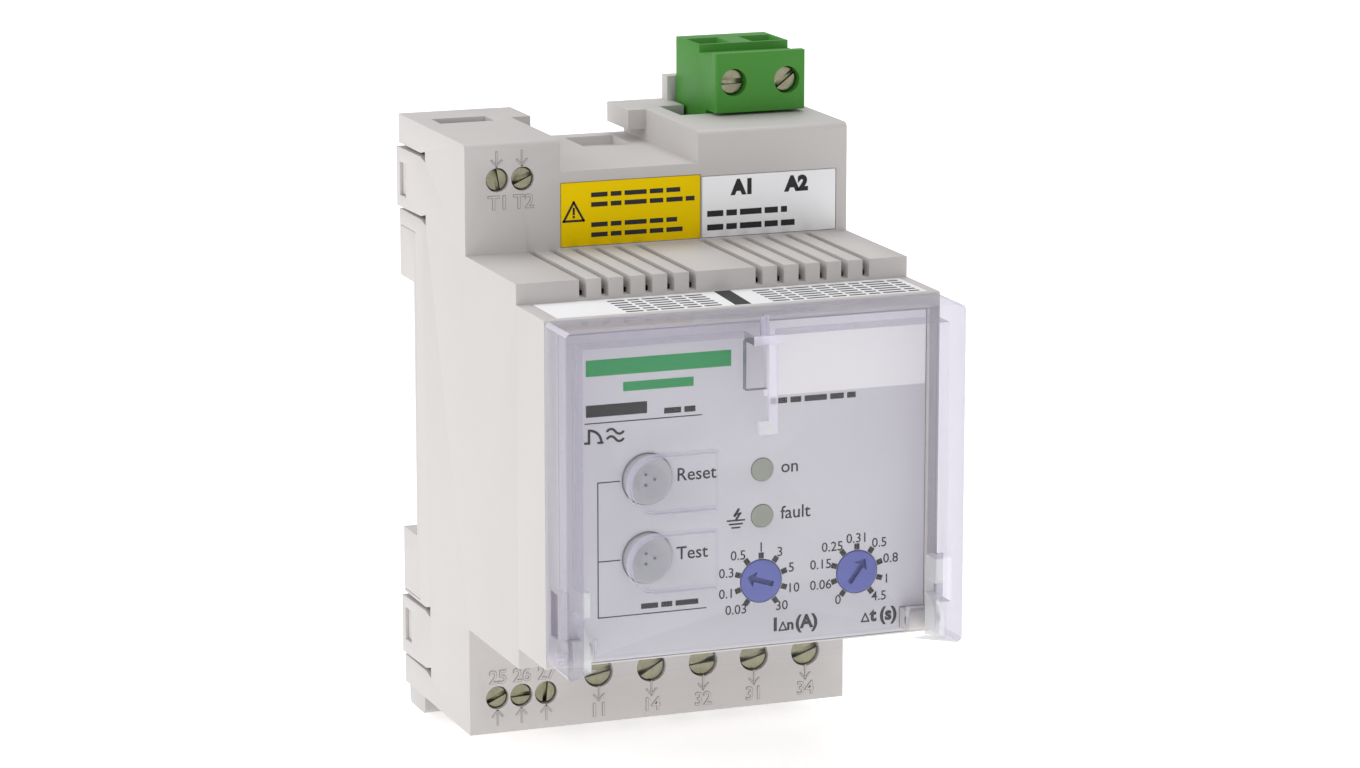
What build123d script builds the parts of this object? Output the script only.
from build123d import *
import math
import os

# A three-module residual current relay for a 35 mm top-hat rail, in millimetres.
# +X is right and -Y is the front, as a person faces the device, and +Z is up.
# The origin is the centre of the rail seat: Y = 0 is the front surface of the rail.

# ---- Driving sizes -------------------------------------------------------------
WIDTH = 54.0
HEIGHT = 80.0
WALL = 1.8
HALF_W = WIDTH / 2
HALF_H = HEIGHT / 2
INNER_W = HALF_W - WALL

REAR_Y = 6.0
TERMINAL_Y = -22.7
SHOULDER_Y = -43.2
PANEL_Y = -54.0
COVER_FRONT_Y = -62.2

NOSE_H = 25.3
PANEL_H = 22.6
MIDDLE_TOP_Z = 35.7
LEFT_STEP_X = -13.8
RIGHT_STEP_X = 5.6
EDGE_ROUND = 0.8

CLEARANCE = 0.1
RUNNING = 0.05

# ---- Rail seat and clips -------------------------------------------------------
RAIL_HALF = 17.7
SEAM_Y = -1.0
SEAM_TOP_Z = 24.8
SEAM_BOTTOM_Z = -26.6
FLOOR_Y = -1.8
REAR_PLATE_Y = 4.2
HOOK_Z = 16.2
HOOK_FRONT_Y = 1.15
HOOK_BACK_Y = 2.7
CLIP_X = 18.2
CLIP_W = 11.6
CLIP_Y = (1.3, 4.0)
CLIP_FOOT_W = 14.6
CLIP_FOOT_OUT = 0.9
CLIP_FOOT_Y = (-1.0, 5.9)
CLIP_FOOT_Z = (-43.0, -40.3)
CLIP_LEAD_IN = 1.0
CLIP_SLOT_W = 4.4
CLIP_SLOT_Y = 4.6
CLIP_WINDOW_W = 6.0
CHANNEL_WALL = 0.9
CHANNEL_FRONT_Y = -0.2
CLIP_GAP = 0.2
CLIP_WINDOW_Z = (-31.5, -22.0)
SPRING_STOP_Z = (-31.4, -30.0)
SPRING_STOP_W = 4.8
SPRING_R = 1.0
SPRING_WIRE_R = 0.2
SPRING_PITCH = 1.0

# ---- Snap tongues --------------------------------------------------------------
TONGUE_LOW_Z = 27.2
TONGUE_HIGH_Z = 35.8
TONGUE_ROOT_Y = -5.7
SLIT_W = 0.5
SLIT_END = 1.5
TONGUE_BULGE = 0.35
WINDOW_Y = (2.3, 4.7)
WINDOW_Z = (29.0, 33.6)

# ---- Vents ---------------------------------------------------------------------
VENT_PITCH = 3.0
VENT_W = 1.0
VENT_COUNT = 6
VENT_GROUPS = (-10.5, 13.7)
VENT_BOTTOM_Z = 22.9

# ---- Panel features ------------------------------------------------------------
BUTTON_X = -13.3
RESET_Z = 1.2
TEST_Z = -9.1
LENS_X = 2.4
ON_Z = 1.1
FAULT_Z = -5.0
LENS_R = 1.5
DIAL_Z = -13.6
SENSITIVITY_X = 2.3
DELAY_X = 15.65
DIAL_R = 2.8
DIAL_HOLE_R = 2.9
DIAL_STEM_R = 1.2
DIAL_BACK_Y = -51.0
DIAL_END_Y = -47.4
DIAL_PROUD = 0.1
ARROW_DEPTH = 0.5
ARROW_TIP = 2.05
ARROW_TAIL = -1.75
ARROW_BARB = (0.85, 1.05)
ARROW_NECK = (0.95, 0.35)
ROTARY_FRONT_Y = -50.8

# ---- Labels --------------------------------------------------------------------
LABEL_T = 0.3
FACIA_X = (-25.1, 25.1)
FACIA_Z = (-22.2, 20.5)
WARNING_X = (LEFT_STEP_X + CLEARANCE, 5.9)
WARNING_Z = (25.6, 34.1)
SUPPLY_X = (6.2, 25.4)
SUPPLY_Z = (25.6, 33.8)
LEDGE_X = (-24.9, 25.7)
LEDGE_Y = (-53.1, -43.7)

# ---- Cover ---------------------------------------------------------------------
COVER_REAR_Y = -54.2
COVER_TOP_Z = 22.5
COVER_BOTTOM_Z = -22.0
RIM_W = 2.2
COVER_WALL = 1.5
COVER_FLOOR = 0.7
PLATE_FRONT_Y = -58.0
PLATE_T = 1.2
PLATE_REAR_Y = PLATE_FRONT_Y + PLATE_T
HINGE_Y = -56.0
HINGE_Z = -20.3
HINGE_PIN_R = 0.6
LUG_X = (21.8, 25.0)
LUG_R = 1.3
LUG_ROOM = 0.3
PIN_END_X = 26.4
BLIND_HOLE_X = 26.5
COVER_WINDOW_Y = (-58.6, HINGE_Y)
COVER_WINDOW_Z = (-17.5, -11.6)
CORNER_X = 23.6
STOP_DEPTH = 3.2
STOP_Z = (-14.2, -11.0)
ARM_Z = -20.4
ARM_RADII = (3.6, 4.4)

# ---- Sealing catch -------------------------------------------------------------
SEAL_SLOT_X = (-1.4, 1.5)
SEAL_SLOT_Z = (12.5, 18.8)
SEAL_TAB_X = (-1.7, 2.2)
SEAL_TAB_Y = -61.4
SEAL_TAB_Z = 19.0
SEAL_EYE = (0.25, -60.0)
SEAL_EYE_R = 0.6
SEAL_RIB_X = (1.5, 2.7)
SEAL_FOOT_X = (0.2, 2.7)
SEAL_FOOT_Z = (6.7, 8.5)
SEAL_RIB_T = 0.6

# ---- Press pads ----------------------------------------------------------------
PAD_ROOT_X = -5.1
PAD_SLOT_R = 3.84
PAD_R = 3.5
BOSS_R = 2.0
PLUNGER_R = 3.3
PLUNGER_STEM_R = 1.2
PLUNGER_FRONT_Y = -54.6
PLUNGER_END_Y = -47.6
PUSH_GAP = 0.15
DOT_R = 0.2
DOT_RING_R = 0.8
SWITCH_FRONT_Y = -49.9

# ---- Boards --------------------------------------------------------------------
FRONT_BOARD_Y = (-46.4, -44.8)
MAIN_BOARD_Y = (-4.6, -3.0)
LINK_BOARD_Z = (-19.6, -18.0)

# ---- Terminals -----------------------------------------------------------------
SMALL_SCREW_R = 1.5
LARGE_SCREW_R = 2.0
SMALL_Z = 35.1
LARGE_Z = -33.0
SENSOR_X = {"t1": -22.5, "t2": -19.0}
SIGNAL_X = {"25": -23.1, "26": -19.7, "27": -16.2}
RELAY_X = {"11": -8.7, "14": -1.1, "32": 6.4, "31": 13.85, "34": 21.4}
HEAD_Y = -22.2
BLOCK_FRONT_Y = -20.8
SMALL_WIRE_Y = -2.6
LARGE_WIRE_Y = -13.0
CAGE_X = 2.5
CAGE_Y = (-17.6, -8.9)
CAGE_Z = (-36.0, -30.0)
CAGE_TRAVEL = 1.2
BLOCK_TOP_Z = -26.0
BAR_X = 1.5
BAR_Y = (-14.9, -14.3)
TAIL_X = 0.5
TAIL_Z = (-26.6, BLOCK_TOP_Z)
SMALL_SHANK_R = 1.0
LARGE_SHANK_R = 1.4
SMALL_HEAD = 2.6
LARGE_HEAD = 3.4
DRIVE_DEPTH = 0.6
SENSOR_ENTRY_X = (-24.4, -16.8)
SIGNAL_ENTRY_X = (-25.0, -14.6)
SMALL_ENTRY_Y = (-4.6, -0.5)
LARGE_ENTRY = 1.8

# ---- Top of the steps ----------------------------------------------------------
CATCH_X = ((LEFT_STEP_X, -11.0), (3.1, RIGHT_STEP_X))
CATCH_Y = (-2.6, 5.9)
CATCH_BOTTOM_Z = 37.3
TOP_POCKET_X = (-4.0, 3.0)
TOP_POCKET_Y = (-5.0, 3.4)
TOP_POCKET_DEPTH = 1.2

# ---- Supply plug ---------------------------------------------------------------
PLUG_X = (12.3, 25.3)
PLUG_Y = (-12.0, 3.2)
PLUG_Z = (40.4, 48.95)
PLUG_STEP_Y = -5.6
PLUG_STEP_Z = 47.9
PLUG_LIP_Y = -10.6
PLUG_LIP_Z = 48.5
PLUG_BODY_Y = -8.1
PLUG_BODY_Z = 38.3
PLUG_BODY_X = 25.2
PLUG_INSERT_X = (12.9, 24.2)
PLUG_INSERT_Y = (-8.1, 1.4)
PLUG_INSERT_Z = 29.5
PLUG_POLES = {"a1": 14.9, "a2": 22.6}
PLUG_SCREW_Z = 44.5
PLUG_SCREW_R = 1.75
PLUG_HEAD_Y = -10.9
PLUG_SHANK_R = 1.2
PLUG_WIRE_Y = (-5.0, 0.3)
FUNNEL_W = 4.6
FUNNEL_DEPTH = 1.6
FUNNEL_TAPER = 18
POCKET_X = (8.3, 25.6)
POCKET_Y = (-9.2, 3.8)
POCKET_SIDE_X = 11.9
POCKET_SIDE_Y = -0.8
POST_X = (11.2, 13.4)
POST_TOP_Z = 43.4
PIN_Y = -3.0
HEADER_X = (12.0, 25.1)
HEADER_Y = (-9.0, 2.2)
HEADER_Z = (26.0, 38.1)
HEADER_WALL = 0.45
HEADER_FLOOR_Z = 28.4
PIN_W = 1.0
SOCKET_TOP_Z = 41.4

os.makedirs("parts", exist_ok=True)


def front_plane(y):
    """A sketch plane parallel to the panel at depth y, drawn as seen from the front."""
    return Plane.XZ.offset(-y)


def block(x, y, z, mode=Mode.ADD):
    """A box between two limits on each axis, in the part being built."""
    size = [limits[1] - limits[0] for limits in (x, y, z)]
    centre = [(limits[0] + limits[1]) / 2 for limits in (x, y, z)]
    with Locations(tuple(centre)):
        Box(*size, mode=mode)


def rod_y(x, z, y, radius, mode=Mode.ADD):
    """A cylinder along Y between two depths, in the part being built."""
    with Locations((x, (y[0] + y[1]) / 2, z)):
        Cylinder(radius, y[1] - y[0], rotation=(90, 0, 0), mode=mode)


def rod_z(x, y, z, radius, mode=Mode.ADD):
    """A cylinder along Z between two heights, in the part being built."""
    with Locations((x, y, (z[0] + z[1]) / 2)):
        Cylinder(radius, z[1] - z[0], mode=mode)


def rod_x(y, z, x, radius, mode=Mode.ADD):
    """A cylinder along X between two limits, in the part being built."""
    with Locations(((x[0] + x[1]) / 2, y, z)):
        Cylinder(radius, x[1] - x[0], rotation=(0, 90, 0), mode=mode)


def mirrored(limits):
    """The same limits on the other side of the middle."""
    return (-limits[1], -limits[0])


def both_sides(limits):
    """The limits on the right side and their mirror on the left."""
    return (limits, mirrored(limits))


def keep(part, name):
    """Labels a finished piece and writes its file."""
    part.label = name
    export_step(part, f"parts/{name}.step")


def grown(limits, gap=CLEARANCE):
    """The same limits, moved apart by a gap at each end."""
    return (limits[0] - gap, limits[1] + gap)


def about(middle, width):
    """The limits of a width about a middle."""
    return (middle - width / 2, middle + width / 2)


def stepped_outline(inset, rear_y, top_z):
    """The casing's side outline, inset by a wall, from the rear face round the nose."""
    return [
        (rear_y, -HALF_H + inset),
        (TERMINAL_Y + inset, -HALF_H + inset),
        (TERMINAL_Y + inset, -NOSE_H + inset),
        (SHOULDER_Y + inset, -NOSE_H + inset),
        (SHOULDER_Y + inset, -PANEL_H + inset),
        (PANEL_Y + inset, -PANEL_H + inset),
        (PANEL_Y + inset, PANEL_H - inset),
        (SHOULDER_Y + inset, PANEL_H - inset),
        (SHOULDER_Y + inset, NOSE_H - inset),
        (TERMINAL_Y + inset, NOSE_H - inset),
        (TERMINAL_Y + inset, top_z),
        (rear_y, top_z),
    ]


# ---- Front casing --------------------------------------------------------------
with BuildPart() as front_housing:
    with BuildSketch(Plane.YZ.offset(-HALF_W)):
        with BuildLine():
            Polyline(*stepped_outline(0, REAR_Y, HALF_H), close=True)
        make_face()
    extrude(amount=WIDTH)
    # The middle of the upper terminal face is lower than the steps beside it.
    block((LEFT_STEP_X, RIGHT_STEP_X), (TERMINAL_Y, REAR_Y), (MIDDLE_TOP_Z, HALF_H), Mode.SUBTRACT)
    front_edges = front_housing.edges().filter_by(Axis.X).group_by(Axis.Y)[0]
    fillet(front_edges, EDGE_ROUND / 2)
    step_edges = [
        edge
        for edge in front_housing.edges().filter_by(Axis.X)
        if abs(edge.center().Z - HALF_H) < CLEARANCE and abs(edge.center().Y - TERMINAL_Y) < CLEARANCE
    ]
    fillet(step_edges, EDGE_ROUND)
    # The hollow, open at the back, with a pocket under each step.
    with BuildSketch(Plane.YZ.offset(-INNER_W)):
        with BuildLine():
            Polyline(*stepped_outline(WALL, REAR_Y, MIDDLE_TOP_Z - WALL), close=True)
        make_face()
    extrude(amount=2 * INNER_W, mode=Mode.SUBTRACT)
    hollow_top = (MIDDLE_TOP_Z - WALL, HALF_H - WALL)
    hollow_depth = (TERMINAL_Y + WALL, REAR_Y)
    block((-INNER_W, LEFT_STEP_X - WALL), hollow_depth, hollow_top, Mode.SUBTRACT)
    block((RIGHT_STEP_X + WALL, INNER_W), hollow_depth, hollow_top, Mode.SUBTRACT)
    # The side walls stop at the seam, where the rear casing's own sides are flush.
    block((-HALF_W, HALF_W), (SEAM_Y, REAR_Y), (SEAM_BOTTOM_Z, SEAM_TOP_Z), Mode.SUBTRACT)
    # A snap tongue at each corner, cut free by two slits, with a window for its peg.
    for low, high in ((TONGUE_LOW_Z, TONGUE_HIGH_Z), (-TONGUE_HIGH_Z, -TONGUE_LOW_Z)):
        for side in (-1, 1):
            with BuildSketch(Plane.XY.offset(low)):
                with BuildLine():
                    Polyline(
                        (side * HALF_W, TONGUE_ROOT_Y),
                        (side * HALF_W, REAR_Y),
                        (side * (HALF_W + TONGUE_BULGE), REAR_Y),
                        close=True,
                    )
                make_face()
            extrude(amount=high - low)
            wall_x = sorted((side * INNER_W, side * (HALF_W + TONGUE_BULGE)))
            for edge_z in (low, high):
                block(wall_x, (TONGUE_ROOT_Y, REAR_Y), about(edge_z, SLIT_W), Mode.SUBTRACT)
                with BuildSketch(Plane.YZ.offset(wall_x[0])):
                    with BuildLine():
                        Polyline(
                            (TONGUE_ROOT_Y, edge_z - SLIT_END / 2),
                            (TONGUE_ROOT_Y, edge_z + SLIT_END / 2),
                            (TONGUE_ROOT_Y + 2 * SLIT_END, edge_z),
                            close=True,
                        )
                    make_face()
                extrude(amount=wall_x[1] - wall_x[0], mode=Mode.SUBTRACT)
            window_z = WINDOW_Z if low > 0 else mirrored(WINDOW_Z)
            block(wall_x, WINDOW_Y, window_z, Mode.SUBTRACT)
    # Vent slots through the nose's top and underside.
    for group_x in VENT_GROUPS:
        with Locations((group_x, (TERMINAL_Y + SHOULDER_Y) / 2, 0)):
            with GridLocations(VENT_PITCH, 1, VENT_COUNT, 1):
                with Locations((0, 0, (VENT_BOTTOM_Z + NOSE_H) / 2), (0, 0, -(VENT_BOTTOM_Z + NOSE_H) / 2)):
                    Box(VENT_W, TERMINAL_Y - SHOULDER_Y, NOSE_H - VENT_BOTTOM_Z, mode=Mode.SUBTRACT)
    # Screwdriver holes in the terminal faces.
    through_face = (TERMINAL_Y, TERMINAL_Y + WALL)
    for x in SENSOR_X.values():
        rod_y(x, SMALL_Z, through_face, SMALL_SCREW_R + CLEARANCE, Mode.SUBTRACT)
    for x in SIGNAL_X.values():
        rod_y(x, -SMALL_Z, through_face, SMALL_SCREW_R + CLEARANCE, Mode.SUBTRACT)
    for x in RELAY_X.values():
        rod_y(x, LARGE_Z, through_face, LARGE_SCREW_R + CLEARANCE, Mode.SUBTRACT)
    # Wire entries: one shared pocket for the small terminals, one hole for each relay wire.
    entry_top = (HALF_H - WALL, HALF_H)
    block(SENSOR_ENTRY_X, SMALL_ENTRY_Y, entry_top, Mode.SUBTRACT)
    block(SIGNAL_ENTRY_X, SMALL_ENTRY_Y, mirrored(entry_top), Mode.SUBTRACT)
    for x in RELAY_X.values():
        entry_y = about(LARGE_WIRE_Y, 2 * LARGE_ENTRY)
        block(about(x, 2 * LARGE_ENTRY), entry_y, mirrored(entry_top), Mode.SUBTRACT)
    # Notches in the underside let the rail clips out.
    for x in (-CLIP_X, CLIP_X):
        notch_y = (CLIP_Y[0] - CLIP_GAP, REAR_Y)
        block(about(x, CLIP_W + 2 * CLIP_GAP), notch_y, mirrored(entry_top), Mode.SUBTRACT)
    # The supply plug's pocket, which is deeper behind the plug, and the post beside it.
    block((POCKET_X[0], POCKET_SIDE_X), (POCKET_Y[0], POCKET_SIDE_Y), entry_top, Mode.SUBTRACT)
    block((POCKET_SIDE_X, POCKET_X[1]), POCKET_Y, entry_top, Mode.SUBTRACT)
    block(POST_X, (POCKET_Y[1], REAR_Y - CLEARANCE), (HALF_H - WALL, POST_TOP_Z))
    # Catches for a label strip at the back of the steps, with a pocket between them.
    for catch_x in CATCH_X:
        block(catch_x, CATCH_Y, (CATCH_BOTTOM_Z, HALF_H))
    pocket_z = (MIDDLE_TOP_Z - TOP_POCKET_DEPTH, MIDDLE_TOP_Z)
    block(TOP_POCKET_X, TOP_POCKET_Y, pocket_z, Mode.SUBTRACT)
    # Panel openings: buttons, indicator lenses and dials, and a recess for the facia.
    through_panel = (PANEL_Y, PANEL_Y + WALL)
    for z in (RESET_Z, TEST_Z):
        rod_y(BUTTON_X, z, through_panel, PLUNGER_R + CLEARANCE, Mode.SUBTRACT)
    for z in (ON_Z, FAULT_Z):
        rod_y(LENS_X, z, through_panel, LENS_R + RUNNING, Mode.SUBTRACT)
    for x in (SENSITIVITY_X, DELAY_X):
        rod_y(x, DIAL_Z, through_panel, DIAL_HOLE_R, Mode.SUBTRACT)
    block(grown(FACIA_X), (PANEL_Y, PANEL_Y + LABEL_T), grown(FACIA_Z), Mode.SUBTRACT)
    # Shallow recesses for the labels on the wall and on the ledge.
    wall_label_y = (TERMINAL_Y, TERMINAL_Y + LABEL_T)
    block(grown(WARNING_X), wall_label_y, grown(WARNING_Z), Mode.SUBTRACT)
    block(grown(SUPPLY_X), wall_label_y, grown(SUPPLY_Z), Mode.SUBTRACT)
    block(grown(LEDGE_X), grown(LEDGE_Y), (PANEL_H - LABEL_T, PANEL_H), Mode.SUBTRACT)
    # Two lugs at the foot of the panel hold the cover's hinge pins.
    for limits in both_sides(LUG_X):
        block(limits, (HINGE_Y, PANEL_Y + LABEL_T), about(HINGE_Z, 2 * LUG_R))
        rod_x(HINGE_Y, HINGE_Z, limits, LUG_R)
        rod_x(HINGE_Y, HINGE_Z, limits, HINGE_PIN_R, Mode.SUBTRACT)
keep(front_housing.part, "front_housing")

# ---- Rear casing ---------------------------------------------------------------
with BuildPart() as rear_housing:
    seam_z = (SEAM_BOTTOM_Z + CLEARANCE, SEAM_TOP_Z - CLEARANCE)
    plug_w = INNER_W - CLEARANCE
    block((-HALF_W, HALF_W), (SEAM_Y, REAR_Y), seam_z)
    fit = WALL + CLEARANCE
    plate_y = (REAR_PLATE_Y, REAR_Y)
    block((-plug_w, plug_w), plate_y, (-HALF_H + fit, MIDDLE_TOP_Z - fit))
    corner_z = (MIDDLE_TOP_Z - fit, HALF_H - fit)
    block((-plug_w, LEFT_STEP_X - fit), plate_y, corner_z)
    block((RIGHT_STEP_X + fit, plug_w), plate_y, corner_z)
    # The seat for the rail, with a floor between the rail and the boards.
    block((-plug_w, plug_w), (FLOOR_Y, SEAM_Y), (-RAIL_HALF - WALL, RAIL_HALF + WALL))
    for z_limits in ((RAIL_HALF + WALL, seam_z[1] + CLEARANCE), (seam_z[0] - CLEARANCE, -RAIL_HALF - WALL)):
        block((-INNER_W, INNER_W), (SEAM_Y, REAR_PLATE_Y), z_limits, Mode.SUBTRACT)
    block((-HALF_W, HALF_W), (0, REAR_Y), (-RAIL_HALF, RAIL_HALF), Mode.SUBTRACT)
    # Fixed hooks hang on the rail's top flange.
    for x in (-CLIP_X, CLIP_X):
        block(about(x, CLIP_W), (HOOK_FRONT_Y, HOOK_BACK_Y), (HOOK_Z, RAIL_HALF))
    # Pegs that snap into the front casing's tongues.
    for limits in both_sides((plug_w - WALL, HALF_W - CLEARANCE)):
        for z_limits in (WINDOW_Z, mirrored(WINDOW_Z)):
            block(limits, grown(WINDOW_Y, -CLEARANCE), grown(z_limits, -CLEARANCE))
    # A boxed channel for each clip, open to the back and below, with the spring's stop.
    for x in (-CLIP_X, CLIP_X):
        channel_x = about(x, CLIP_W + 2 * CLIP_GAP)
        channel_y = (CLIP_Y[0] - CLIP_GAP, REAR_Y)
        block(grown(channel_x, CHANNEL_WALL), (CHANNEL_FRONT_Y, REAR_Y), (-HALF_H + fit, -RAIL_HALF - WALL))
        block(channel_x, channel_y, (-HALF_H, -RAIL_HALF), Mode.SUBTRACT)
        block(about(x, SPRING_STOP_W), (channel_y[0], CLIP_Y[1]), SPRING_STOP_Z)
keep(rear_housing.part, "rear_housing")

# ---- Rail clips and their springs ----------------------------------------------
for name, x in (("din_clip_left", -CLIP_X), ("din_clip_right", CLIP_X)):
    with BuildPart() as din_clip:
        foot_x = x + math.copysign(CLIP_FOOT_OUT, x)
        block(about(x, CLIP_W), CLIP_Y, (CLIP_FOOT_Z[0], -RAIL_HALF - CLIP_GAP))
        block(about(foot_x, CLIP_FOOT_W), CLIP_FOOT_Y, CLIP_FOOT_Z)
        block(about(x, CLIP_WINDOW_W), CLIP_Y, CLIP_WINDOW_Z, Mode.SUBTRACT)
        # The hook reaches up behind the rail's lower flange, with a lead-in slope.
        with BuildSketch(Plane.YZ.offset(x - CLIP_W / 2)):
            with BuildLine():
                Polyline(
                    (CLIP_Y[0], -RAIL_HALF - CLIP_GAP),
                    (CLIP_Y[0], -HOOK_Z - CLIP_GAP),
                    (HOOK_BACK_Y - CLIP_LEAD_IN, -HOOK_Z),
                    (CLIP_Y[1], -RAIL_HALF - CLIP_GAP),
                    close=True,
                )
            make_face()
        extrude(amount=CLIP_W)
        foot_edges = din_clip.edges().filter_by(Axis.X).group_by(Axis.Z)[0]
        fillet(foot_edges, EDGE_ROUND)
        # A slot in the foot for the tip of a screwdriver.
        block(about(foot_x, CLIP_SLOT_W), (CLIP_SLOT_Y, REAR_Y), CLIP_FOOT_Z, Mode.SUBTRACT)
    keep(din_clip.part, name)

for name, x in (("clip_spring_left", -CLIP_X), ("clip_spring_right", CLIP_X)):
    spring_length = CLIP_WINDOW_Z[1] - SPRING_STOP_Z[1] - 2 * SPRING_WIRE_R - CLEARANCE
    spring_base = (x, (CLIP_Y[0] + CLIP_Y[1]) / 2, SPRING_STOP_Z[1] + SPRING_WIRE_R + CLEARANCE / 2)
    with BuildPart() as clip_spring:
        with BuildLine():
            coil = Helix(SPRING_PITCH, spring_length, SPRING_R, center=spring_base)
        with BuildSketch(Plane(origin=coil @ 0, z_dir=coil % 0)):
            Circle(SPRING_WIRE_R)
        sweep(path=coil)
    keep(clip_spring.part, name)

# ---- Clear cover ---------------------------------------------------------------
with BuildPart() as front_cover:
    cover_y = (COVER_FRONT_Y, COVER_REAR_Y)
    block((-HALF_W, HALF_W), cover_y, (COVER_BOTTOM_Z, COVER_TOP_Z))
    outer_edges = front_cover.edges().filter_by(Axis.Y)
    fillet(outer_edges, EDGE_ROUND)
    # The rim stands proud of the recessed plate; a thinner wall runs back to the panel.
    rim_in = HALF_W - RIM_W
    block(
        (-rim_in, rim_in),
        (COVER_FRONT_Y, PLATE_FRONT_Y),
        (COVER_BOTTOM_Z + COVER_FLOOR, COVER_TOP_Z - RIM_W),
        Mode.SUBTRACT,
    )
    wall_in = HALF_W - COVER_WALL
    block(
        (-wall_in, wall_in),
        (PLATE_REAR_Y, COVER_REAR_Y),
        (COVER_BOTTOM_Z + COVER_FLOOR, COVER_TOP_Z - COVER_WALL),
        Mode.SUBTRACT,
    )
    # The lower rear corner is round about the hinge, so that it clears the panel.
    hinge_r = HINGE_Z - COVER_BOTTOM_Z
    with BuildSketch(Plane.YZ.offset(-HALF_W)):
        with Locations(((HINGE_Y + COVER_REAR_Y) / 2, (HINGE_Z + COVER_BOTTOM_Z) / 2)):
            Rectangle(COVER_REAR_Y - HINGE_Y, hinge_r)
        with Locations((HINGE_Y, HINGE_Z)):
            Circle(hinge_r, mode=Mode.SUBTRACT)
    extrude(amount=WIDTH, mode=Mode.SUBTRACT)
    # Room for the casing's lugs, and a blind hole in each side wall for the hinge pins.
    for limits in both_sides((LUG_X[0] - LUG_ROOM, wall_in)):
        room_y = (PLATE_FRONT_Y - LUG_ROOM, COVER_REAR_Y)
        block(limits, room_y, (COVER_BOTTOM_Z, HINGE_Z + LUG_R + 3 * LUG_ROOM), Mode.SUBTRACT)
    for limits in both_sides((wall_in - CLEARANCE, BLIND_HOLE_X)):
        rod_x(HINGE_Y, HINGE_Z, limits, HINGE_PIN_R + RUNNING, Mode.SUBTRACT)
    # A window in each side wall, and a stop block and a curved arm inside each corner.
    for limits in both_sides((wall_in, HALF_W)):
        block(limits, COVER_WINDOW_Y, COVER_WINDOW_Z, Mode.SUBTRACT)
    for limits in both_sides((CORNER_X, rim_in + CLEARANCE)):
        block(limits, (PLATE_FRONT_Y - STOP_DEPTH, PLATE_FRONT_Y), STOP_Z)
        with BuildSketch(Plane.YZ.offset(limits[0])):
            with Locations((PLATE_FRONT_Y, ARM_Z)):
                Ellipse(*ARM_RADII)
            with Locations((PLATE_FRONT_Y + ARM_RADII[0], ARM_Z)):
                Rectangle(2 * ARM_RADII[0], 3 * ARM_RADII[1], mode=Mode.SUBTRACT)
            with Locations((PLATE_FRONT_Y, COVER_BOTTOM_Z - ARM_RADII[1] + COVER_FLOOR / 2)):
                Rectangle(3 * ARM_RADII[0], 2 * ARM_RADII[1], mode=Mode.SUBTRACT)
        extrude(amount=limits[1] - limits[0])
    # The slot for the sealing catch, with the eye that the seal's wire goes through.
    block(SEAL_SLOT_X, (PLATE_FRONT_Y, PLATE_REAR_Y), SEAL_SLOT_Z, Mode.SUBTRACT)
    block(SEAL_TAB_X, (SEAL_TAB_Y, PLATE_FRONT_Y), (SEAL_TAB_Z, COVER_TOP_Z - RIM_W))
    rod_z(*SEAL_EYE, (SEAL_TAB_Z, COVER_TOP_Z), SEAL_EYE_R, Mode.SUBTRACT)
    rib_y = (PLATE_FRONT_Y - SEAL_RIB_T, PLATE_FRONT_Y)
    block(SEAL_RIB_X, rib_y, (SEAL_FOOT_Z[1], COVER_TOP_Z - RIM_W))
    block(SEAL_FOOT_X, rib_y, SEAL_FOOT_Z)
    # The slots that free the two press pads.
    for z in (RESET_Z, TEST_Z):
        with BuildSketch(front_plane(PLATE_REAR_Y)):
            with Locations((BUTTON_X, z)):
                Circle(PAD_SLOT_R)
            with Locations(((BUTTON_X + PAD_ROOT_X) / 2, z)):
                Rectangle(PAD_ROOT_X - BUTTON_X, 2 * PAD_SLOT_R)
        extrude(amount=PLATE_T, mode=Mode.SUBTRACT)
keep(front_cover.part, "front_cover")

with BuildPart() as cover_pins:
    for limits in both_sides((LUG_X[0], PIN_END_X)):
        rod_x(HINGE_Y, HINGE_Z, limits, HINGE_PIN_R)
keep(cover_pins.part, "cover_pins")

# ---- Press pads and the buttons behind them ------------------------------------
for name, z in (("reset_pad", RESET_Z), ("test_pad", TEST_Z)):
    with BuildPart() as press_pad:
        with BuildSketch(front_plane(PLATE_REAR_Y)):
            with Locations((BUTTON_X, z)):
                Circle(PAD_R)
            with Locations(((BUTTON_X + PAD_ROOT_X - CLEARANCE) / 2, z)):
                Rectangle(PAD_ROOT_X - CLEARANCE - BUTTON_X, 2 * PAD_R)
        extrude(amount=PLATE_T)
        # A clear boss on the back of the pad reaches the button.
        rod_y(BUTTON_X, z, (PLATE_REAR_Y, PLUNGER_FRONT_Y - PUSH_GAP), BOSS_R)
    keep(press_pad.part, name)

for name, z in (("reset_plunger", RESET_Z), ("test_plunger", TEST_Z)):
    with BuildPart() as plunger:
        rod_y(BUTTON_X, z, (PLUNGER_FRONT_Y, SWITCH_FRONT_Y - 0.8), PLUNGER_R)
        rod_y(BUTTON_X, z, (SWITCH_FRONT_Y - 0.8, PLUNGER_END_Y), PLUNGER_STEM_R)
        fillet(plunger.edges().group_by(Axis.Y)[0], 0.3)
        # Three moulded dots on the face tell the finger where the button is.
        with BuildSketch(front_plane(PLUNGER_FRONT_Y)):
            with Locations((BUTTON_X, z)):
                with PolarLocations(DOT_RING_R, 3):
                    Circle(DOT_R)
        extrude(amount=DOT_R / 2)
    keep(plunger.part, name)

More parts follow.
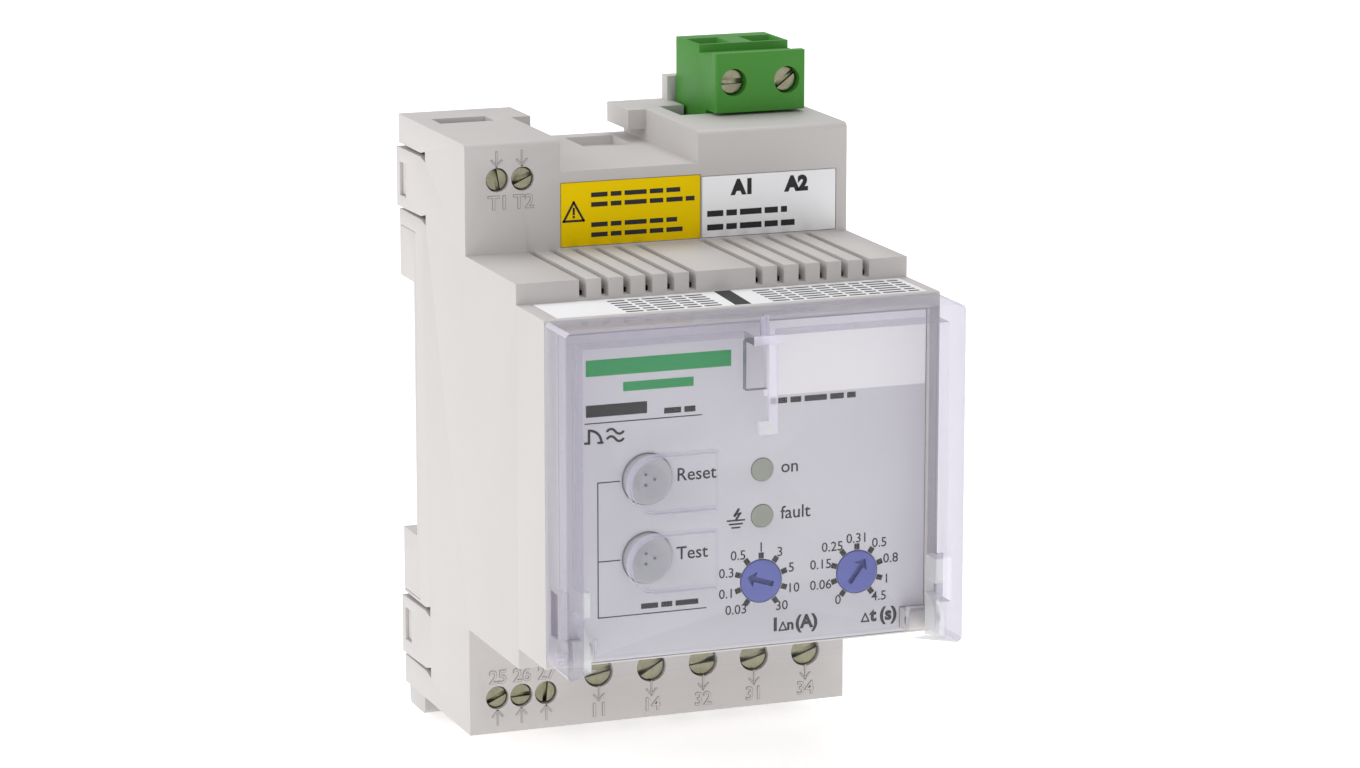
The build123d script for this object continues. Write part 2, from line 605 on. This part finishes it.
with BuildPart() as button_switches:
    for z in (RESET_Z, TEST_Z):
        block((BUTTON_X - 3, BUTTON_X + 3), (SWITCH_FRONT_Y, FRONT_BOARD_Y[0]), (z - 3, z + 3))
        rod_y(BUTTON_X, z, (SWITCH_FRONT_Y, -46.9), PLUNGER_STEM_R + RUNNING, Mode.SUBTRACT)
keep(button_switches.part, "button_switches")

# ---- Indicators ----------------------------------------------------------------
for name, z in (("on_lens", ON_Z), ("fault_lens", FAULT_Z)):
    with BuildPart() as lens:
        rod_y(LENS_X, z, (PANEL_Y - 0.1, -51.2), LENS_R)
        fillet(lens.edges().group_by(Axis.Y)[0], 0.1)
        rod_y(LENS_X, z, (-52.2 + CLEARANCE, -51.2), LENS_R + 0.5)
    keep(lens.part, name)

with BuildPart() as indicator_leds:
    for z in (ON_Z, FAULT_Z):
        rod_y(LENS_X, z, (-49.6, FRONT_BOARD_Y[0]), 1.5)
        with Locations((LENS_X, -49.6, z)):
            Sphere(1.5)
        rod_y(LENS_X, z, (-47.4, FRONT_BOARD_Y[0]), 1.9)
keep(indicator_leds.part, "indicator_leds")

# ---- Setting dials -------------------------------------------------------------
for name, x, pointer in (("sensitivity_dial", SENSITIVITY_X, 162), ("delay_dial", DELAY_X, 54)):
    with BuildPart() as dial:
        face_y = PANEL_Y - DIAL_PROUD
        rod_y(x, DIAL_Z, (face_y, DIAL_BACK_Y), DIAL_R)
        fillet(dial.edges().group_by(Axis.Y)[0], 0.15)
        rod_y(x, DIAL_Z, (DIAL_BACK_Y, DIAL_END_Y), DIAL_STEM_R)
        # The arrow is a sunk screwdriver slot with a head at one end.
        with BuildSketch(Plane(origin=(x, face_y, DIAL_Z), x_dir=(1, 0, 0), z_dir=(0, -1, 0))):
            with BuildLine(Location((0, 0), pointer)):
                Polyline(
                    (ARROW_TIP, 0),
                    ARROW_BARB,
                    ARROW_NECK,
                    (ARROW_TAIL, ARROW_NECK[1]),
                    (ARROW_TAIL, -ARROW_NECK[1]),
                    (ARROW_NECK[0], -ARROW_NECK[1]),
                    (ARROW_BARB[0], -ARROW_BARB[1]),
                    close=True,
                )
            make_face()
        extrude(amount=-ARROW_DEPTH, mode=Mode.SUBTRACT)
    keep(dial.part, name)

with BuildPart() as rotary_switches:
    for x in (SENSITIVITY_X, DELAY_X):
        block((x - 4.9, x + 4.9), (ROTARY_FRONT_Y, FRONT_BOARD_Y[0]), (DIAL_Z - 4.0, DIAL_Z + 4.4))
        stem_y = (ROTARY_FRONT_Y, DIAL_END_Y + RUNNING)
        rod_y(x, DIAL_Z, stem_y, DIAL_STEM_R + RUNNING, Mode.SUBTRACT)
keep(rotary_switches.part, "rotary_switches")

# ---- Printed labels ------------------------------------------------------------
with BuildPart() as facia_label:
    label_y = (PANEL_Y, PANEL_Y + LABEL_T)
    block(FACIA_X, label_y, FACIA_Z)
    for limits in both_sides(LUG_X):
        block(grown(limits), label_y, grown(about(HINGE_Z, 2 * LUG_R)), Mode.SUBTRACT)
    for z in (RESET_Z, TEST_Z):
        rod_y(BUTTON_X, z, label_y, PLUNGER_R + CLEARANCE, Mode.SUBTRACT)
    for z in (ON_Z, FAULT_Z):
        rod_y(LENS_X, z, label_y, LENS_R + RUNNING, Mode.SUBTRACT)
    for x in (SENSITIVITY_X, DELAY_X):
        rod_y(x, DIAL_Z, label_y, DIAL_HOLE_R, Mode.SUBTRACT)
keep(facia_label.part, "facia_label")

with BuildPart() as warning_label:
    block(WARNING_X, wall_label_y, WARNING_Z)
keep(warning_label.part, "warning_label")

with BuildPart() as supply_label:
    block(SUPPLY_X, wall_label_y, SUPPLY_Z)
keep(supply_label.part, "supply_label")

with BuildPart() as ledge_label:
    block(LEDGE_X, LEDGE_Y, (PANEL_H - LABEL_T, PANEL_H))
keep(ledge_label.part, "ledge_label")

# ---- Circuit boards ------------------------------------------------------------
with BuildPart() as front_board:
    block((-24.6, 24.6), FRONT_BOARD_Y, (-20.4, 20.4))
keep(front_board.part, "front_board")

with BuildPart() as link_board:
    block((-21.0, 21.0), (FRONT_BOARD_Y[1], MAIN_BOARD_Y[0]), LINK_BOARD_Z)
    block((-9.0, 9.0), (-30.0, -16.0), (LINK_BOARD_Z[1], LINK_BOARD_Z[1] + 1.4))
keep(link_board.part, "link_board")

with BuildPart() as main_board:
    block((-24.8, 24.8), MAIN_BOARD_Y, (-37.6, 33.4))
    # Notches make room for the small terminals' wires and the supply header.
    block((-24.8, -14.2), MAIN_BOARD_Y, (26.6, 33.4), Mode.SUBTRACT)
    block((-24.8, -13.2), MAIN_BOARD_Y, (-37.6, -26.6), Mode.SUBTRACT)
    block((8.0, 24.8), MAIN_BOARD_Y, (23.2, 33.4), Mode.SUBTRACT)
keep(main_board.part, "main_board")

# ---- Power and relay parts on the main board ------------------------------------
BOARD_FACE = MAIN_BOARD_Y[0]
with BuildPart() as transformer_core:
    block((-23.0, -3.0), (BOARD_FACE - 17.0, BOARD_FACE - 1.5), (3.0, 19.0))
    for z_limits in ((6.0, 8.5), (13.5, 16.0)):
        block((-20.0, -6.0), (BOARD_FACE - 17.0, BOARD_FACE - 1.5), z_limits, Mode.SUBTRACT)
keep(transformer_core.part, "transformer_core")

with BuildPart() as transformer_winding:
    block((-19.8, -6.2), (BOARD_FACE - 19.0, BOARD_FACE), (6.1, 15.9))
    block((-19.8, -6.2), (BOARD_FACE - 17.1, BOARD_FACE - 1.4), (8.4, 13.6), Mode.SUBTRACT)
    fillet(transformer_winding.edges().filter_by(Axis.X).group_by(Axis.Y)[0], 1.0)
keep(transformer_winding.part, "transformer_winding")

for name, x in (("presence_relay", 2.0), ("fault_relay", 13.5)):
    with BuildPart() as relay:
        block((x, x + 10.0), (BOARD_FACE - 15.0, BOARD_FACE), (-15.0, 5.0))
        fillet(relay.edges().filter_by(Axis.Y), 0.6)
    keep(relay.part, name)

with BuildPart() as smoothing_capacitors:
    for x in (-17.5, -6.5):
        rod_y(x, -8.0, (BOARD_FACE - 13.0, BOARD_FACE), 4.0)
    fillet(smoothing_capacitors.edges().group_by(Axis.Y)[0], 0.6)
keep(smoothing_capacitors.part, "smoothing_capacitors")

with BuildPart() as surge_varistor:
    rod_x(-10.0, 13.0, (4.0, 7.0), 4.2)
    block((4.5, 6.5), (-6.6, BOARD_FACE), (11.5, 14.5))
keep(surge_varistor.part, "surge_varistor")

# ---- Terminal blocks -----------------------------------------------------------
BLOCK_Z = 38.0
SMALL_BLOCK_Z = 27.4
SMALL_BLOCK_REAR_Y = -0.4


def small_terminal(x, z, wire_z):
    """Cuts one small terminal's screw hole and the wire hole that it crosses."""
    rod_y(x, z, (BLOCK_FRONT_Y, SMALL_WIRE_Y + 1.0), SMALL_SHANK_R + RUNNING, Mode.SUBTRACT)
    rod_y(x, z, (BLOCK_FRONT_Y, HEAD_Y + SMALL_HEAD + CLEARANCE), SMALL_SCREW_R + RUNNING, Mode.SUBTRACT)
    rod_z(x, SMALL_WIRE_Y, wire_z, 1.2, Mode.SUBTRACT)


with BuildPart() as sensor_terminal_block:
    block((-24.9, -16.4), (BLOCK_FRONT_Y, SMALL_BLOCK_REAR_Y), (SMALL_BLOCK_Z, BLOCK_Z))
    for x in SENSOR_X.values():
        small_terminal(x, SMALL_Z, (SMALL_Z - 3.0, BLOCK_Z))
keep(sensor_terminal_block.part, "sensor_terminal_block")

with BuildPart() as signal_terminal_block:
    block((-25.0, -14.1), (BLOCK_FRONT_Y, SMALL_BLOCK_REAR_Y), (-BLOCK_Z, -SMALL_BLOCK_Z))
    for x in SIGNAL_X.values():
        small_terminal(x, -SMALL_Z, (-BLOCK_Z, 3.0 - SMALL_Z))
keep(signal_terminal_block.part, "signal_terminal_block")

with BuildPart() as relay_terminal_block:
    block((-12.6, 25.1), (BLOCK_FRONT_Y, BOARD_FACE - CLEARANCE), (-BLOCK_Z, BLOCK_TOP_Z))
    for x in RELAY_X.values():
        rod_y(x, LARGE_Z, (BLOCK_FRONT_Y, -18.0), LARGE_SCREW_R + RUNNING, Mode.SUBTRACT)
        block(
            (x - CAGE_X - 0.2, x + CAGE_X + 0.2),
            (-18.0, CAGE_Y[1] + CAGE_TRAVEL + 0.2),
            (CAGE_Z[0] - 0.2, CAGE_Z[1] + 0.2),
            Mode.SUBTRACT,
        )
        wire_y = (LARGE_WIRE_Y - 1.7, LARGE_WIRE_Y + 1.7)
        block((x - 1.6, x + 1.6), wire_y, (-BLOCK_Z, CAGE_Z[0]), Mode.SUBTRACT)
        block((x - BAR_X, x + BAR_X), BAR_Y, (CAGE_Z[1], BLOCK_TOP_Z), Mode.SUBTRACT)
        block((x - TAIL_X, x + TAIL_X), (BAR_Y[0], BOARD_FACE), TAIL_Z, Mode.SUBTRACT)
keep(relay_terminal_block.part, "relay_terminal_block")

# Each contact bar hangs in its cage and has a tail that runs back to the board.
with BuildPart() as contact_bars:
    for x in RELAY_X.values():
        block((x - BAR_X, x + BAR_X), BAR_Y, (CAGE_Z[0] + 0.9, BLOCK_TOP_Z))
        block((x - TAIL_X, x + TAIL_X), (BAR_Y[0], BOARD_FACE), TAIL_Z)
keep(contact_bars.part, "contact_bars")


def slotted_screw(x, z, head_y, head_r, shank_r, tip_y, slot_angle, head_length=SMALL_HEAD):
    """A slotted screw along Y, its slot turned anticlockwise from X as seen from the front."""
    rod_y(x, z, (head_y, head_y + head_length), head_r)
    fillet(faces().filter_by(Plane.XZ).sort_by(Axis.Y)[0].edges(), 0.2)
    rod_y(x, z, (head_y + head_length, tip_y), shank_r)
    with Locations(Location((x, head_y, z), (0, -slot_angle, 0))):
        Box(2 * head_r + 1, 2 * DRIVE_DEPTH, 0.4 * head_r, mode=Mode.SUBTRACT)


SLOT_ANGLES = {
    "t1": 100, "t2": 25, "25": 25, "26": 2, "27": 85,
    "11": 10, "14": 30, "32": 5, "31": 15, "34": 20,
    "a1": 2, "a2": 38,
}
for name, x in SENSOR_X.items():
    with BuildPart() as screw:
        turn = SLOT_ANGLES[name]
        slotted_screw(x, SMALL_Z, HEAD_Y, SMALL_SCREW_R, SMALL_SHANK_R, SMALL_WIRE_Y, turn)
    keep(screw.part, f"terminal_screw_{name}")
for name, x in SIGNAL_X.items():
    with BuildPart() as screw:
        turn = SLOT_ANGLES[name]
        slotted_screw(x, -SMALL_Z, HEAD_Y, SMALL_SCREW_R, SMALL_SHANK_R, SMALL_WIRE_Y, turn)
    keep(screw.part, f"terminal_screw_{name}")
for name, x in RELAY_X.items():
    with BuildPart() as screw:
        turn = SLOT_ANGLES[name]
        tip_y = BAR_Y[0] - CLEARANCE
        slotted_screw(x, LARGE_Z, HEAD_Y, LARGE_SCREW_R, LARGE_SHANK_R, tip_y, turn, LARGE_HEAD)
    keep(screw.part, f"terminal_screw_{name}")
    with BuildPart() as cage:
        block((x - CAGE_X, x + CAGE_X), CAGE_Y, CAGE_Z)
        block((x - CAGE_X + 0.7, x + CAGE_X - 0.7), (-16.3, CAGE_Y[1] - 0.8), CAGE_Z, Mode.SUBTRACT)
        rod_y(x, LARGE_Z, (CAGE_Y[0], -16.3), LARGE_SHANK_R + RUNNING, Mode.SUBTRACT)
    keep(cage.part, f"clamp_cage_{name}")

# ---- Supply header in the casing -----------------------------------------------
with BuildPart() as supply_header:
    block(HEADER_X, HEADER_Y, HEADER_Z)
    cavity = (grown(HEADER_X, -HEADER_WALL), grown(HEADER_Y, -HEADER_WALL))
    block(*cavity, (HEADER_FLOOR_Z, HEADER_Z[1]), Mode.SUBTRACT)
    for x in PLUG_POLES.values():
        block(about(x, PIN_W), about(PIN_Y, PIN_W), (HEADER_Z[0], HEADER_FLOOR_Z), Mode.SUBTRACT)
keep(supply_header.part, "supply_header")

with BuildPart() as header_pins:
    for x in PLUG_POLES.values():
        block(about(x, PIN_W), about(PIN_Y, PIN_W), (24.4, 36.0))
        block(about(x, PIN_W), (BOARD_FACE - PIN_W, PIN_Y + PIN_W / 2), (23.4, 24.4))
        block(about(x, PIN_W), (BOARD_FACE - PIN_W, BOARD_FACE), (21.4, 23.4))
keep(header_pins.part, "header_pins")

# ---- Green supply plug ---------------------------------------------------------
with BuildPart() as plug_housing:
    block(PLUG_X, (PLUG_STEP_Y, PLUG_Y[1]), PLUG_Z)
    block(PLUG_X, (PLUG_Y[0], PLUG_STEP_Y), (PLUG_Z[0], PLUG_STEP_Z))
    block(PLUG_X, (PLUG_Y[0], PLUG_LIP_Y), (PLUG_STEP_Z, PLUG_LIP_Z))
    fillet(plug_housing.edges().filter_by(Axis.Z).group_by(Axis.Y)[0], 0.3)
    # The lower body fills the casing's pocket, and the insert goes down into the header.
    block((PLUG_X[0], PLUG_BODY_X), (PLUG_BODY_Y, PLUG_Y[1]), (PLUG_BODY_Z, PLUG_Z[0]))
    block(PLUG_INSERT_X, PLUG_INSERT_Y, (PLUG_INSERT_Z, PLUG_BODY_Z))
    for x in PLUG_POLES.values():
        # Screw hole from the front, wire funnel from above and a slot for the pin below.
        hole_back_y = PLUG_HEAD_Y + SMALL_HEAD + RUNNING
        rod_y(x, PLUG_SCREW_Z, (PLUG_Y[0], hole_back_y), PLUG_SCREW_R + CLEARANCE, Mode.SUBTRACT)
        shank_hole_y = (hole_back_y, PLUG_WIRE_Y[0])
        rod_y(x, PLUG_SCREW_Z, shank_hole_y, PLUG_SHANK_R + RUNNING, Mode.SUBTRACT)
        with BuildSketch(Plane.XY.offset(PLUG_Z[1])):
            with Locations((x, sum(PLUG_WIRE_Y) / 2)):
                Rectangle(FUNNEL_W, PLUG_WIRE_Y[1] - PLUG_WIRE_Y[0])
        extrude(amount=-FUNNEL_DEPTH, taper=FUNNEL_TAPER, mode=Mode.SUBTRACT)
        funnel_foot_z = PLUG_Z[1] - FUNNEL_DEPTH + RUNNING
        block(about(x, 3.8), PLUG_WIRE_Y, (SOCKET_TOP_Z, funnel_foot_z), Mode.SUBTRACT)
        block(about(x, 1.8), about(PIN_Y, 2.6), (PLUG_INSERT_Z, SOCKET_TOP_Z), Mode.SUBTRACT)
keep(plug_housing.part, "plug_housing")

with BuildPart() as plug_sockets:
    for x in PLUG_POLES.values():
        socket_z = (PLUG_INSERT_Z + 0.5, SOCKET_TOP_Z - CLEARANCE)
        block(about(x, 1.6), about(PIN_Y, 2.4), socket_z)
        block(about(x, 1.2), about(PIN_Y, 1.2), (socket_z[0], 36.6), Mode.SUBTRACT)
        block(about(x, 3.4), (PIN_Y + 0.9, PIN_Y + 1.5), (SOCKET_TOP_Z, 46.6))
        block(about(x, 1.6), (PIN_Y + 0.4, PIN_Y + 1.2), about(SOCKET_TOP_Z, 1.0))
keep(plug_sockets.part, "plug_sockets")

for name, x in PLUG_POLES.items():
    with BuildPart() as screw:
        tip_y = PIN_Y + 0.8
        turn = SLOT_ANGLES[name]
        slotted_screw(x, PLUG_SCREW_Z, PLUG_HEAD_Y, PLUG_SCREW_R, PLUG_SHANK_R, tip_y, turn)
    keep(screw.part, f"plug_screw_{name}")
